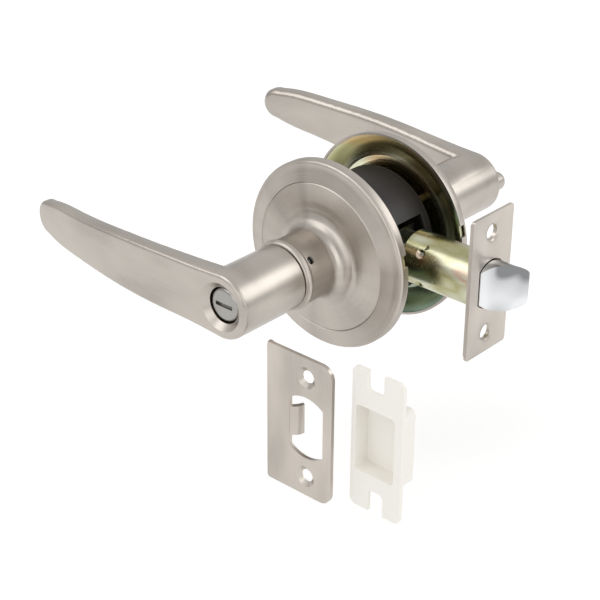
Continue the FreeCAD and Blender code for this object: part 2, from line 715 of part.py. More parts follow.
def latch_tail():
    """Flat tail from the bolt to the retractor, with a T head."""
    head0, head1, head_z = TAIL_HEAD
    y, z = TAIL_HALF
    tail = block(head0, BOLT_REAR_X, -y, y, -z, z)
    return tail.fuse(block(head0, head1, -y, y, -head_z, head_z)).removeSplitter()


def countersunk_hole(x, z, y_front, thick, hole, sink):
    """Cutter for a screw hole sunk from the front."""
    cutter = rod_y(hole, y_front - 1, y_front + thick + 1, x, z)
    return cutter.fuse(Part.makeCone(sink, hole, thick - 0.3, V(x, y_front, z), V(0, 1, 0)))


def strike_plate():
    """Strike plate with D hole, bent tang and curved lip."""
    y0, y1 = STRIKE_FRONT, STRIKE_FRONT + STRIKE_THICK
    left, right = STRIKE_LEFT, STRIKE_LEFT + STRIKE_WIDTH
    half = PLATE_HEIGHT / 2
    small, big = STRIKE_CORNERS
    ks, kb = small * 0.2929, big * 0.2929
    outline = [
        (left + small, -half), (right - big, -half), ((right - kb, -half + kb), (right, -half + big)),
        (right, half - big), ((right - kb, half - kb), (right - big, half)), (left + small, half),
        ((left + ks, half - ks), (left, half - small)), (left, -half + small),
        ((left + ks, -half + ks), (left + small, -half)),
    ]
    plate = plate_xz(outline, y0, y1)
    radius, centre, chord0, chord1 = STRIKE_D
    opening = rod_y(radius, y0 - 1, y1 + 1, left + centre)
    opening = opening.common(block(left + chord0, left + chord1, y0 - 1, y1 + 1,
                                   -radius, radius))
    plate = plate.cut(opening)
    t = STRIKE_THICK
    lip = [
        (left + 1.6, y0, 0), ((left - 0.35, y0 + 0.7, 0), (left - 1.4, y0 + LIP_DEPTH, 0)),
        (left + 0.1, y0 + LIP_DEPTH, 0), ((left + 0.75, y0 + 2.0, 0), (left + 1.9, y0 + t, 0)),
    ]
    lip = Part.Face(wire_path(lip)).extrude(V(0, 0, 2 * (half - small)))
    lip.translate(V(0, 0, -(half - small)))
    root = left + chord0
    tang = [
        (root - 0.5, y0, 0), ((root + 1.4, y0 + 0.9, 0), (root + 3.2, y0 + 4.6, 0)),
        (root + 1.9, y0 + 5.2, 0), ((root + 0.6, y0 + 2.6, 0), (root - 0.5, y0 + t, 0)),
    ]
    tang = Part.Face(wire_path(tang)).extrude(V(0, 0, 2 * TANG_HALF))
    tang.translate(V(0, 0, -TANG_HALF))
    plate = plate.fuse(lip).fuse(tang)
    for z in (-SCREW_SPACING / 2, SCREW_SPACING / 2):
        plate = plate.cut(countersunk_hole(left + STRIKE_HOLE_U, z, y0, t, PLATE_HOLE_R, PLATE_SINK_R))
    plate.translate(V(0, 0, STRIKE_Z))
    return plate.removeSplitter()


def dust_box():
    """Plastic box behind the strike: notched flange and open cup."""
    y0 = BOX_FRONT
    left, half = BOX_LEFT, BOX_HEIGHT / 2
    flange = plate_xz(slot_outline(left, left + BOX_WIDTH, -half, half, BOX_CORNER), y0, y0 + BOX_FLANGE)
    u0, u1, v = BOX_CUP
    cup = plate_xz(slot_outline(left + u0, left + u1, -v, v, 2.5), y0, y0 + BOX_DEPTH)
    m0, m1, mv = BOX_MOUTH
    mouth = plate_xz(slot_outline(left + m0, left + m1, -mv, mv, 1.5), y0 - 1, y0 + BOX_DEPTH - BOX_FLOOR)
    box = flange.fuse(cup).cut(mouth)
    n0, n1, nv = BOX_TOP_NOTCH
    box = box.cut(plate_xz(slot_outline(left + n0, left + n1, nv, half + 5, 1.8), y0 - 1, y0 + 3))
    n0, n1, nv = BOX_BOTTOM_NOTCH
    box = box.cut(plate_xz(slot_outline(left + n0, left + n1, -half - 5, -nv, 1.8), y0 - 1, y0 + 3))
    box.translate(V(0, 0, BOX_Z))
    return box.removeSplitter()


def save_side(side):
    """Write every piece that is repeated on both sides."""
    face = DOOR_FACE[side]
    fixed = {
        "rose_cover": rose_cover(face),
        "rose_liner": rose_liner(face),
        "hub_sleeve": hub_sleeve(face),
        "return_spring": return_spring(),
        "chassis_cap": chassis_cap(),
    }
    turning = {
        "lever": lever(face),
        "lever_spindle": lever_spindle(face),
        "lever_catch": lever_catch(face),
        "catch_spring": catch_spring(face),
    }
    for name, shape in fixed.items():
        save("%s_%s" % (side, name), seat(shape, side))
    for name, shape in turning.items():
        save("%s_%s" % (side, name), seat(shape, side, handle=True))


def save_lock_turn():
    """Write the thumb turn, the release disc and what joins them."""
    save("outside_release_disc", seat(emergency_disc(DOOR_FACE["outside"]), "outside"))
    save("inside_turn_button", turn_button(DOOR_FACE["inside"]))
    save("locking_bar", locking_bar())
    save("locking_cam", locking_cam())


def save_chassis():
    """Write the can, its screws and the retractor."""
    save("chassis_housing", chassis_housing())
    for name, angle in zip(("upper", "lower"), SCREW_ANGLES):
        save("mounting_screw_%s" % name, mounting_screw(angle))
    save("retractor_slide", retractor_slide())
    save("retractor_guide", retractor_guide())
    for name, side in (("upper", 1), ("lower", -1)):
        save("retractor_spring_%s" % name,
             coil_x(*RETRACTOR_COIL, side * SLIDE_SPRING_Z))


def save_latch():
    """Write the latch from its tube to its bolt."""
    plate_x = BACKSET - FACEPLATE_THICK
    save("latch_faceplate", latch_plate(plate_x, BACKSET, True))
    save("latch_backplate", latch_plate(plate_x - BACKPLATE_THICK, plate_x, False))
    save("latch_tube", latch_tube())
    save("latch_bushing", latch_bushing())
    save("latch_bolt", latch_bolt())
    save("latch_tail", latch_tail())
    save("latch_bolt_spring", coil_x(*LATCH_COIL, TUBE_START_X + BUSH_FLOOR, BOLT_REAR_X, 7))


def main():
    os.makedirs("parts", exist_ok=True)
    for side in SIDES:
        save_side(side)
    save_lock_turn()
    save_chassis()
    save_latch()
    save("strike_plate", strike_plate())
    save("dust_box", dust_box())


main()
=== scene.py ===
"""Privacy door lever lock with its latch, strike plate and dust box."""

import math

import bmesh
import bpy
from mathutils import Matrix, Vector


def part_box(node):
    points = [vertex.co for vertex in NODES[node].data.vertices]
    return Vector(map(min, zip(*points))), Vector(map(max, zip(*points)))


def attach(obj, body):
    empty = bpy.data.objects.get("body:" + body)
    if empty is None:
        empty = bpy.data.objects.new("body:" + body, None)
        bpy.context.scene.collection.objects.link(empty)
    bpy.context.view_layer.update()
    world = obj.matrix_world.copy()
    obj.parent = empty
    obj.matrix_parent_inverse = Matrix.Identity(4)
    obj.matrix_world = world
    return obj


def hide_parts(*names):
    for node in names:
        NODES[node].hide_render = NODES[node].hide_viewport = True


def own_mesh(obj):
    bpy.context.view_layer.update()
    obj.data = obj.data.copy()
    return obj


bl_info = {
    "name": "Privacy Door Lever Lock",
    "version": (1, 0, 0),
    "blender": (4, 5, 0),
    "location": "View3D > Sidebar > Door Lock",
    "description": "Dresses a cylindrical privacy lever lock and lights it",
    "category": "Object",
}

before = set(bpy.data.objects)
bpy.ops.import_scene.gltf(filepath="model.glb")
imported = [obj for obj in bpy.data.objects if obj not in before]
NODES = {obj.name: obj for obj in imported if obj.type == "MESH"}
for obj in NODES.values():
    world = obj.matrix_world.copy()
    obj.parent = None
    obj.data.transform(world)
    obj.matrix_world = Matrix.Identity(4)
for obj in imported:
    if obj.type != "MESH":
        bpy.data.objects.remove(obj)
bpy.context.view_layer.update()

MM = 0.001
SIDES = ("outside", "inside")
ROOT = "lock_body"
HANDLES = {"outside": "outside_handle", "inside": "inside_handle"}
AXIS_Y = Vector((0, 1, 0))
PUSHED_SPRINGS = (("retractor_spring_upper", "retractor_pull"),
                  ("retractor_spring_lower", "retractor_pull"),
                  ("latch_bolt_spring", "latch_retract"))

# Thresholds of shapes and shading
WELD = 1e-7
NODE_WELD = 1e-6
PIECE_CREASE = math.radians(32)
NODE_CREASE = math.radians(30)
BEVELLED_CREASE = math.radians(50)
HOLE_RIM = 1.02

# Springs and threads; the thread's shape is given in pitches
COIL_POINTS = 12
COIL_STEPS = 72
PUSH_POINTS = 10
PUSH_STEPS = 36
THREAD_SUNK = 0.1 * MM
THREAD_RISE = 0.28
THREAD_FOOT = 0.45
THREAD_PAST = 3

# Brushed nickel: stretch of its lines and clouds, anisotropy, contrast of the lines; for 'ring' the
# clouds vary only round the spindle axis and paint highlight fans into the colour
GRAINS = {
    "ring": ((6500, 6500, 1.6), (2.1, 2.1, 2.1), 0.85, 0.07),
    "long": ((25, 6500, 6500), (25, 60, 60), 0.35, 0.07),
    "upright": ((6500, 6500, 25), (60, 60, 25), 0.35, 0.03),
}
GRAIN_DIRECTIONS = {"long": (1, 0, 0), "upright": (0, 0, 1)}

# Ramp stops: place and tone, for zinc also which of its colours
NICKEL_TONES = ((0.3, 0.84), (0.5, 1.0), (0.7, 1.12))
METAL_TONES = ((0.3, 0.9), (0.7, 1.08))
CHROME_PAINTED_REFLECTIONS = ((0.32, 0.35), (0.44, 0.8), (0.6, 1.0), (0.72, 1.2))
PLASTIC_TONES = ((0.3, 0.97), (0.7, 1.02))
# Liner by radius: the olive plating, darkened towards the centre as painted shade behind the
# chassis, with painted highlight bands on the raised ring and at the rim
LINER_OLIVE_AND_PAINTED_RINGS = ((0.0, "olive", 0.4), (0.5, "olive", 0.5), (0.6, "olive", 0.9), (0.64, "pale", 1.35),
               (0.69, "pale", 1.1), (0.74, "olive", 0.75), (0.86, "olive", 1.0), (0.93, "pale", 1.1))
# Liner by height: painted shade, dark teal at the bottom, rising to painted light, white and pink,
# at the top
LINER_PAINTED_HEIGHT_SHADE = ((0.1, (0.2, 0.27, 0.28)), (0.3, (0.42, 0.56, 0.58)), (0.5, (0.95, 0.95, 0.9)),
              (0.7, (1, 1, 1)))
LINER_PAINTED_TOP_LIGHT = (0.85, "pink", 2.0)
LINER_RADIUS = 40 * MM
LINER_HEIGHT = 70 * MM
TUBE_CLOUDS = ((0.3, "teal", 1.3), (0.4, "pale", 1.05), (0.5, "olive", 1.0), (0.6, "pale", 1.0),
               (0.68, "pink", 1.2), (0.76, "pale", 1.2))
# Yellow zinc painted near black for the shade inside the chassis window
SHADE_DARKENED_ZINC = (0.09, 0.08, 0.055)
BRIGHT_ZINC = (0.46, 0.47, 0.46)
DISC_STEEL = (0.36, 0.35, 0.33)
NOISE_SPAN = (0.3, 0.7)

# Studio: greys from below to above, lamps as name, place, size and power
WHITE = (1, 1, 1, 1)
STUDIO_GREYS = ((0.0, 0.7), (0.44, 0.65), (0.52, 0.62), (0.64, 0.75), (0.8, 0.85), (1.0, 0.78))
EVEN_LIGHT = 0.65
FLOOR_GLOW = 0.3
FLOOR_SIZE = 4
FLOOR_TONES = ((0.0, (0.88, 0.88, 0.88)), (1.0, (0.9, 0.9, 0.9)))
LAMPS = (
    ("key_lamp", (-0.5, -0.7, 0.9), (0.8, 0.8), 2.9),
    ("side_lamp", (0.9, -0.2, 0.45), (0.5, 0.9), 1.7),
    ("back_lamp", (0.75, 0.75, 0.62), (0.7, 0.7), 2.6),
    ("front_lamp", (0.25, -1.1, 0.35), (0.8, 0.6), 1.5),
)
SENSOR_WIDTH = 36.0
NEAR_CLIP = 0.01


def low(node):
    """Lowest corner of a node of the frame."""
    return Vector(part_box(node)[0])


def high(node):
    """Highest corner of a node of the frame."""
    return Vector(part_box(node)[1])


class LockSizes(bpy.types.PropertyGroup):
    """Sizes that the frame doesn't give."""

    edge_round: bpy.props.FloatProperty(
        name="Edge round", description="Softened edge of the stamped plates", default=0.22 * MM,
        unit="LENGTH")
    backplate_step: bpy.props.FloatProperty(
        name="Backplate step", description="How far the faceplate stands past the backplate",
        default=0.9 * MM, unit="LENGTH")
    plate_corner: bpy.props.FloatProperty(
        name="Plate corner", description="Square at each corner of the latch plates that is drawn",
        default=3.0 * MM, unit="LENGTH")
    corner_round: bpy.props.FloatProperty(
        name="Corner round", description="Radius of the latch plates' corners", default=1.3 * MM,
        unit="LENGTH")
    plate_screw: bpy.props.FloatProperty(
        name="Plate screw", description="Height of the latch plates' screws", default=20.65 * MM,
        unit="LENGTH")
    screw_hole: bpy.props.FloatProperty(
        name="Screw hole", description="Radius of the screw hole in the frame", default=2.5 * MM,
        unit="LENGTH")
    screw_clearance: bpy.props.FloatProperty(
        name="Screw clearance", description="Radius of the stamped screw hole", default=3.1 * MM,
        unit="LENGTH")
    spring_wire: bpy.props.FloatProperty(
        name="Spring wire", description="Thickness of the return spring's wire", default=1.0 * MM,
        unit="LENGTH")
    spring_turns: bpy.props.FloatProperty(
        name="Spring turns", description="Turns of the return spring", default=3.25)
    sleeve_radius: bpy.props.FloatProperty(
        name="Sleeve radius", description="Outside of the hub sleeve", default=11.8 * MM,
        unit="LENGTH")
    push_turns: bpy.props.IntProperty(
        name="Push turns", description="Turns of the retractor and bolt springs", default=9)
    push_wire: bpy.props.FloatProperty(
        name="Push wire", description="Wire of those springs as a share of their radius",
        default=0.24)
    leaf_seat: bpy.props.FloatProperty(
        name="Leaf seat", description="Distance from the axis of a catch leaf's ends",
        default=3.3 * MM, unit="LENGTH")
    leaf_pressed: bpy.props.FloatProperty(
        name="Leaf pressed", description="Share of its bow that a pressed catch leaf keeps",
        default=0.05)
    throw: bpy.props.FloatProperty(
        name="Throw", description="Travel of the retractor and the bolt", default=12.0 * MM,
        unit="LENGTH")
    thread_pitch: bpy.props.FloatProperty(
        name="Thread pitch", description="Pitch of the hub sleeve's thread", default=1.4 * MM,
        unit="LENGTH")


class LockFinishes(bpy.types.PropertyGroup):
    """Colours and polish of the metals and the plastic."""

    nickel: bpy.props.FloatVectorProperty(
        name="Satin nickel", description="Colour of the plated trim", subtype="COLOR",
        default=(0.47, 0.43, 0.387))
    nickel_roughness: bpy.props.FloatProperty(
        name="Nickel roughness", description="Satin of the plated trim", default=0.3, min=0, max=1,
        subtype="FACTOR")
    # painted light: the stamped plates get a lighter copy of the nickel
    plate_painted_lightening: bpy.props.FloatProperty(
        name="Plate tone", description="How much lighter the stamped plates are", default=1.12)
    zinc_olive: bpy.props.FloatVectorProperty(
        name="Zinc olive", description="Main colour of the passivated plates", subtype="COLOR",
        default=(0.40, 0.385, 0.20))
    zinc_teal: bpy.props.FloatVectorProperty(
        name="Zinc teal", description="Green cast of the passivated plates", subtype="COLOR",
        default=(0.25, 0.38, 0.27))
    zinc_pink: bpy.props.FloatVectorProperty(
        name="Zinc pink", description="Pink cast of the passivated plates", subtype="COLOR",
        default=(0.52, 0.38, 0.29))
    zinc_pale: bpy.props.FloatVectorProperty(
        name="Zinc pale", description="Pale patches of the passivated plates", subtype="COLOR",
        default=(0.58, 0.58, 0.44))
    black: bpy.props.FloatVectorProperty(
        name="Black", description="Coated steel of the chassis", subtype="COLOR",
        default=(0.006, 0.005, 0.0045))
    chrome: bpy.props.FloatVectorProperty(
        name="Chrome", description="Polished bolt", subtype="COLOR", default=(0.62, 0.63, 0.64))
    ivory: bpy.props.FloatVectorProperty(
        name="Ivory plastic", description="Moulded dust box", subtype="COLOR",
        default=(0.78, 0.755, 0.69))


class StageLook(bpy.types.PropertyGroup):
    """Camera, floor and lamps."""

    focal: bpy.props.FloatProperty(
        name="Focal length", description="Lens on a 36 mm sensor", default=96.43, unit="CAMERA")
    azimuth: bpy.props.FloatProperty(
        name="Azimuth", description="Camera's bearing round the lock", default=math.radians(41.51),
        subtype="ANGLE")
    elevation: bpy.props.FloatProperty(
        name="Elevation", description="Camera's height angle", default=math.radians(27.94),
        subtype="ANGLE")
    roll: bpy.props.FloatProperty(
        name="Roll", description="Camera's tilt", default=math.radians(-0.44), subtype="ANGLE")
    offset: bpy.props.FloatVectorProperty(
        name="Offset", description="Place of the lock's origin seen from the camera",
        default=(24.99 * MM, 25.15 * MM, -625.93 * MM), unit="LENGTH")
    floor_drop: bpy.props.FloatProperty(
        name="Floor drop", description="Floor below the strike plate, clear of a turned lever",
        default=26.0 * MM, unit="LENGTH")


# Shapes

def add_piece(name, mesh_bm, material, body, stands_for=()):
    """Finish a bmesh as a smooth piece that rides on a body."""
    bmesh.ops.remove_doubles(mesh_bm, verts=mesh_bm.verts, dist=WELD)
    bmesh.ops.recalc_face_normals(mesh_bm, faces=mesh_bm.faces)
    mesh = bpy.data.meshes.new(name)
    mesh_bm.to_mesh(mesh)
    mesh_bm.free()
    old_normals = mesh.attributes.get("custom_normal")
    if old_normals:
        mesh.attributes.remove(old_normals)
    for polygon in mesh.polygons:
        polygon.use_smooth = True
    mesh.set_sharp_from_angle(angle=PIECE_CREASE)
    piece = bpy.data.objects.new(name, mesh)
    bpy.context.scene.collection.objects.link(piece)
    mesh.materials.append(material)
    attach(piece, body)
    if stands_for:
        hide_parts(*stands_for)
    return piece


def smooth_tree():
    """Node group that welds a frame node and shades it smooth between sharp edges."""
    tree = bpy.data.node_groups.get("weld_and_smooth")
    if tree:
        return tree
    tree = bpy.data.node_groups.new("weld_and_smooth", "GeometryNodeTree")
    tree.interface.new_socket("Geometry", in_out="INPUT", socket_type="NodeSocketGeometry")
    tree.interface.new_socket("Geometry", in_out="OUTPUT", socket_type="NodeSocketGeometry")
    nodes, links = tree.nodes, tree.links
    start, end = nodes.new("NodeGroupInput"), nodes.new("NodeGroupOutput")
    weld = nodes.new("GeometryNodeMergeByDistance")
    weld.inputs["Distance"].default_value = NODE_WELD
    bare = nodes.new("GeometryNodeRemoveAttribute")
    bare.inputs["Name"].default_value = "custom_normal"
    faces = nodes.new("GeometryNodeSetShadeSmooth")
    creases = nodes.new("GeometryNodeSetShadeSmooth")
    creases.domain = "EDGE"
    creases.inputs["Shade Smooth"].default_value = False
    angle = nodes.new("GeometryNodeInputMeshEdgeAngle")
    steep = nodes.new("FunctionNodeCompare")
    steep.operation = "GREATER_THAN"
    steep.inputs[1].default_value = NODE_CREASE
    links.new(start.outputs[0], bare.inputs[0])
    links.new(bare.outputs[0], weld.inputs[0])
    links.new(weld.outputs[0], faces.inputs[0])
    links.new(faces.outputs[0], creases.inputs[0])
    links.new(angle.outputs["Unsigned Angle"], steep.inputs[0])
    links.new(steep.outputs[0], creases.inputs["Selection"])
    links.new(creases.outputs[0], end.inputs[0])
    return tree


def soften_edges(piece, width, flat_faces=False):
    """Round the sharp edges a little; flat_faces keeps the shading of flat faces flat."""
    bevel = piece.modifiers.new("Edges", "BEVEL")
    bevel.width = width
    bevel.segments = 2
    bevel.limit_method = "ANGLE"
    bevel.angle_limit = BEVELLED_CREASE
    bevel.harden_normals = flat_faces


def latch_plate(node, inset):
    """Stamped plate with small corners and wide screw holes, drawn in by an inset."""
    sizes = bpy.context.scene.lock_sizes
    bm = node_copy(node)
    bmesh.ops.remove_doubles(bm, verts=bm.verts, dist=NODE_WELD)
    half = (high(node) - low(node)) / 2
    wide, tall = half.y - sizes.plate_corner, half.z - sizes.plate_corner
    for vert in bm.verts:
        x, y, z = vert.co
        across, along = abs(y) - wide, abs(z) - tall
        if across > 0 and along > 0:
            reach = corner_reach(math.atan2(along, across), sizes.plate_corner, sizes.corner_round)
            share = reach / sizes.plate_corner
            y = math.copysign(wide + across * share, y)
            z = math.copysign(tall + along * share, z)
        screw = math.copysign(sizes.plate_screw, z)
        from_screw = math.hypot(y, z - screw)
        if from_screw < sizes.screw_hole * HOLE_RIM:
            y *= sizes.screw_clearance / sizes.screw_hole
            z = screw + (z - screw) * sizes.screw_clearance / sizes.screw_hole
        if abs(y) > half.y - 2 * inset:
            y = math.copysign(abs(y) - inset, y)
        if abs(z) > half.z - 2 * inset:
            z = math.copysign(abs(z) - inset, z)
        vert.co = (x, y, z)
    return bm


def corner_reach(bearing, half, radius):
    """Distance from a corner square's inner corner to its outline with a smaller round."""
    ray = Vector((math.cos(bearing), math.sin(bearing)))
    straight = half - radius
    if ray.y * half < straight * ray.x:
        return half / ray.x
    if ray.x * half < straight * ray.y:
        return half / ray.y
    middle = ray.x * straight + ray.y * straight
    return middle + math.sqrt(middle ** 2 - 2 * straight ** 2 + radius ** 2)


def dress_node(name, material, edge=0.0):
    """Give a frame node its finish, smooth shading and softened edges."""
    node = NODES[name]
    node.data.materials.clear()
    node.data.materials.append(material)
    node.modifiers.new("Smooth", "NODES").node_group = smooth_tree()
    if edge:
        soften_edges(node, edge)


def wound_wire(section, radius, start, pitch, turns, steps):
    """Wire or thread ridge wound about Y from (radius, y) section points."""
    bm = bmesh.new()
    ring = [bm.verts.new((radius + r, start + y, 0)) for r, y in section]
    cap = bm.faces.new(ring)
    bmesh.ops.spin(bm, geom=[cap] + list(cap.edges) + ring, cent=(0, 0, 0), axis=AXIS_Y,
                   dvec=(0, pitch / steps, 0), angle=math.tau * turns, steps=int(steps * turns))
    return bm


def node_copy(node):
    """Copy of a frame node's mesh, with its triangles still loose."""
    bm = bmesh.new()
    bm.from_mesh(NODES[node].data)
    return bm


def lay_along_x(coil, centre):
    """Turn a coil wound about Y to lie along X round a point."""
    bmesh.ops.rotate(coil, verts=coil.verts, cent=(0, 0, 0),
                     matrix=Matrix.Rotation(-math.pi / 2, 3, "Z"))
    bmesh.ops.translate(coil, verts=coil.verts, vec=centre)
    return coil


def round_section(radius, count):
    """Points of a round wire's section."""
    return [(radius * math.cos(math.tau * i / count), radius * math.sin(math.tau * i / count))
            for i in range(count)]


# Finishes

class Finish:
    """Small builder for a metal or plastic on Object coordinates."""

    def __init__(self, name):
        self.material = bpy.data.materials.new(name)
        self.material.use_nodes = True
        self.nodes = self.material.node_tree.nodes
        self.links = self.material.node_tree.links
        self.shader = self.nodes["Principled BSDF"]
        self.place = self.nodes.new("ShaderNodeTexCoord").outputs["Object"]

    def set(self, **sockets):
        """Set values of the shader, with _ for a space in a name."""
        for name, value in sockets.items():
            self.shader.inputs[name.replace("_", " ")].default_value = value

    def math(self, kind, a, b=None):
        """Result of a math node on values or sockets."""
        node = self.nodes.new("ShaderNodeMath")
        node.operation = kind
        for socket, value in zip(node.inputs, (a, b)):
            if value is None:
                continue
            if isinstance(value, (int, float)):
                socket.default_value = value
            else:
                self.links.new(value, socket)
        return node.outputs[0]

    def split(self, vector):
        """The three values of a vector."""
        node = self.nodes.new("ShaderNodeSeparateXYZ")
        self.links.new(vector, node.inputs[0])
        return node.outputs

    def ringed(self):
        """Radius, place along the spindle axis and share of Z in the radius, as a vector."""
        x, y, z = self.split(self.place)
        radius = self.math("SQRT", self.math("ADD", self.math("MULTIPLY", x, x),
                                             self.math("MULTIPLY", z, z)))
        bearing = self.math("DIVIDE", z, radius)
        join = self.nodes.new("ShaderNodeCombineXYZ")
        for socket, value in zip(join.inputs, (radius, y, bearing)):
            self.links.new(value, socket)
        return join.outputs[0]

    def ring_tangent(self):
        """Direction round the spindle axis."""
        cross = self.nodes.new("ShaderNodeVectorMath")
        cross.operation = "CROSS_PRODUCT"
        self.links.new(self.place, cross.inputs[0])
        cross.inputs[1].default_value = AXIS_Y
        unit = self.nodes.new("ShaderNodeVectorMath")
        unit.operation = "NORMALIZE"
        self.links.new(cross.outputs[0], unit.inputs[0])
        return unit.outputs[0]

    def fixed_tangent(self, direction):
        """One direction all over the piece."""
        node = self.nodes.new("ShaderNodeCombineXYZ")
        for socket, value in zip(node.inputs, direction):
            socket.default_value = value
        return node.outputs[0]

    def noise(self, stretch, detail=2.0, over=None):
        """Noise on a stretched vector, by default the Object coordinates."""
        scaled = self.nodes.new("ShaderNodeVectorMath")
        scaled.operation = "MULTIPLY"
        self.links.new(self.place if over is None else over, scaled.inputs[0])
        scaled.inputs[1].default_value = stretch
        node = self.nodes.new("ShaderNodeTexNoise")
        node.inputs["Scale"].default_value = 1.0
        node.inputs["Detail"].default_value = detail
        self.links.new(scaled.outputs[0], node.inputs["Vector"])
        return node.outputs["Fac"]

    def spread(self, value, start, end):
        """Noise brought to the range from start to end."""
        node = self.nodes.new("ShaderNodeMapRange")
        self.links.new(value, node.inputs["Value"])
        node.inputs["From Min"].default_value = NOISE_SPAN[0]
        node.inputs["From Max"].default_value = NOISE_SPAN[1]
        node.inputs["To Min"].default_value = start
        node.inputs["To Max"].default_value = end
        return node.outputs["Result"]

    def ramp(self, value, stops):
        """Colour of a value on a ramp."""
        node = self.nodes.new("ShaderNodeValToRGB")
        self.links.new(value, node.inputs[0])
        band = node.color_ramp
        while len(band.elements) < len(stops):
            band.elements.new(0.5)
        for element, (at, color) in zip(band.elements, stops):
            element.position = at
            element.color = (*color, 1)
        return node.outputs["Color"]

    def bump(self, height, strength, distance):
        """Relief of the surface."""
        node = self.nodes.new("ShaderNodeBump")
        node.inputs["Strength"].default_value = strength
        node.inputs["Distance"].default_value = distance
        self.links.new(height, node.inputs["Height"])
        self.links.new(node.outputs[0], self.shader.inputs["Normal"])

    def join(self, value, socket):
        """Feed a socket of the shader."""
        self.links.new(value, self.shader.inputs[socket])


def shade(color, factor):
    """Colour made lighter or darker."""
    return tuple(min(1.0, c * factor) for c in color)


def toned(color, tones):
    """Ramp stops of one colour in several tones."""
    return [(at, shade(color, factor)) for at, factor in tones]


def zinc_stops(stops):
    """Ramp stops in the colours of the yellow passivated plating."""
    looks = bpy.context.scene.lock_finishes
    return [(at, shade(getattr(looks, "zinc_" + tone), factor)) for at, tone, factor in stops]


def satin_nickel(name, grain, roughness):
    """Brushed nickel: grain is 'ring' about the spindle, 'long' along X or 'upright'; 'ring' also
    gets painted highlight fans round the spindle.
    """
    looks = bpy.context.scene.lock_finishes
    finish = Finish(name)
    # painted light: the stamped plates ('upright' grain) get a lighter copy of the nickel
    color = shade(looks.nickel, looks.plate_painted_lightening if grain == "upright" else 1.0)
    line_stretch, cloud_and_fan_stretch, anisotropy, contrast = GRAINS[grain]
    finish.set(Metallic=1.0, Anisotropic=anisotropy)
    if grain == "ring":
        tangent = finish.ring_tangent()
        fine = finish.noise(line_stretch, over=finish.ringed())
        # painted highlight fans for 'ring': noise that varies only round the spindle axis lightens
        # and darkens wedges of the colour; elsewhere plain tone clouds
        clouds_and_painted_fans = finish.noise(cloud_and_fan_stretch, over=tangent)
    else:
        tangent = finish.fixed_tangent(GRAIN_DIRECTIONS[grain])
        fine = finish.noise(line_stretch)
        clouds_and_painted_fans = finish.noise(cloud_and_fan_stretch)
    finish.join(tangent, "Tangent")
    tone = finish.math("ADD", finish.spread(fine, -contrast, contrast), clouds_and_painted_fans)
    finish.join(finish.ramp(tone, toned(color, NICKEL_TONES)), "Base Color")
    rough = finish.math("ADD", finish.spread(fine, -0.02, 0.02),
                        finish.spread(clouds_and_painted_fans, roughness - 0.02, roughness + 0.02))
    finish.join(rough, "Roughness")
    finish.bump(fine, 0.05, 0.01 * MM)
    return finish.material


def zinc_surface(finish, tone):
    """Colour, fine drawing lines and polish shared by the passivated pieces."""
    finish.set(Metallic=1.0)
    finish.join(tone, "Base Color")
    streaks = finish.noise((2500, 2500, 3), over=finish.ringed())
    finish.join(finish.spread(streaks, 0.2, 0.28), "Roughness")
    finish.bump(streaks, 0.05, 0.01 * MM)
    return finish.material


def passivated_liner(name):
    """Plate inside the rose: olive, with painted shade that darkens it to teal towards the bottom,
    painted light that makes the top pale pink, a painted highlight band on the raised ring and
    painted shade towards the centre.
    """
    finish = Finish(name)
    radius = finish.split(finish.ringed())["X"]
    height = finish.split(finish.place)["Z"]
    cloud = finish.noise((30, 30, 45), 1.0)
    share = finish.math("MULTIPLY", radius, 1.0 / LINER_RADIUS)
    # painted light by radius: highlight bands on the raised ring and the rim, painted shade towards
    # the centre
    painted_light_bands = finish.ramp(finish.math("ADD", share, finish.spread(cloud, -0.02, 0.02)),
                        zinc_stops(LINER_OLIVE_AND_PAINTED_RINGS))
    rise = finish.math("MULTIPLY", height, 1.0 / LINER_HEIGHT)
    # painted shade and light by height: dark teal at the bottom, pale pink at the top
    cast = finish.ramp(finish.math("ADD", rise, finish.spread(cloud, *NOISE_SPAN)),
                       [*LINER_PAINTED_HEIGHT_SHADE, *zinc_stops([LINER_PAINTED_TOP_LIGHT])])
    mix = finish.nodes.new("ShaderNodeMix")
    mix.data_type = "RGBA"
    mix.blend_type = "MULTIPLY"
    mix.inputs[0].default_value = 1.0
    finish.links.new(painted_light_bands, mix.inputs[6])
    finish.links.new(cast, mix.inputs[7])
    return zinc_surface(finish, mix.outputs[2])


def passivated_zinc(name):
    """Drawn tube and sleeves: pale yellow-green with teal and pink clouds."""
    finish = Finish(name)
    clouds = finish.noise((45, 75, 90), 1.0)
    return zinc_surface(finish, finish.ramp(clouds, zinc_stops(TUBE_CLOUDS)))


def plain_metal(name, color, roughness, metallic=1.0, grain=900, depth=0.02):
    """Metal or coating with small colour and polish changes."""
    finish = Finish(name)
    finish.set(Metallic=metallic, Specular_IOR_Level=0.5 if metallic else 0.1)
    speck = finish.noise((grain, grain, grain), 3.0)
    cloud = finish.noise((60, 60, 60))
    finish.join(finish.ramp(cloud, toned(color, METAL_TONES)), "Base Color")
    finish.join(finish.spread(speck, roughness * 0.85, roughness * 1.2), "Roughness")
    finish.bump(speck, 0.1, depth * MM)
    return finish.material


def polished_chrome(name, color):
    """Chrome with painted reflections: dark and bright bands like those that a polished bolt
    mirrors.
    """
    finish = Finish(name)
    finish.set(Metallic=1.0)
    # painted reflections: broad noise bands of dark and bright chrome
    painted_light_bands = finish.noise((110, 130, 75), 0.0)
    finish.join(finish.ramp(painted_light_bands, toned(color, CHROME_PAINTED_REFLECTIONS)), "Base Color")
    speck = finish.noise((400, 400, 400), 3.0)
    finish.join(finish.spread(speck, 0.08, 0.12), "Roughness")
    return finish.material


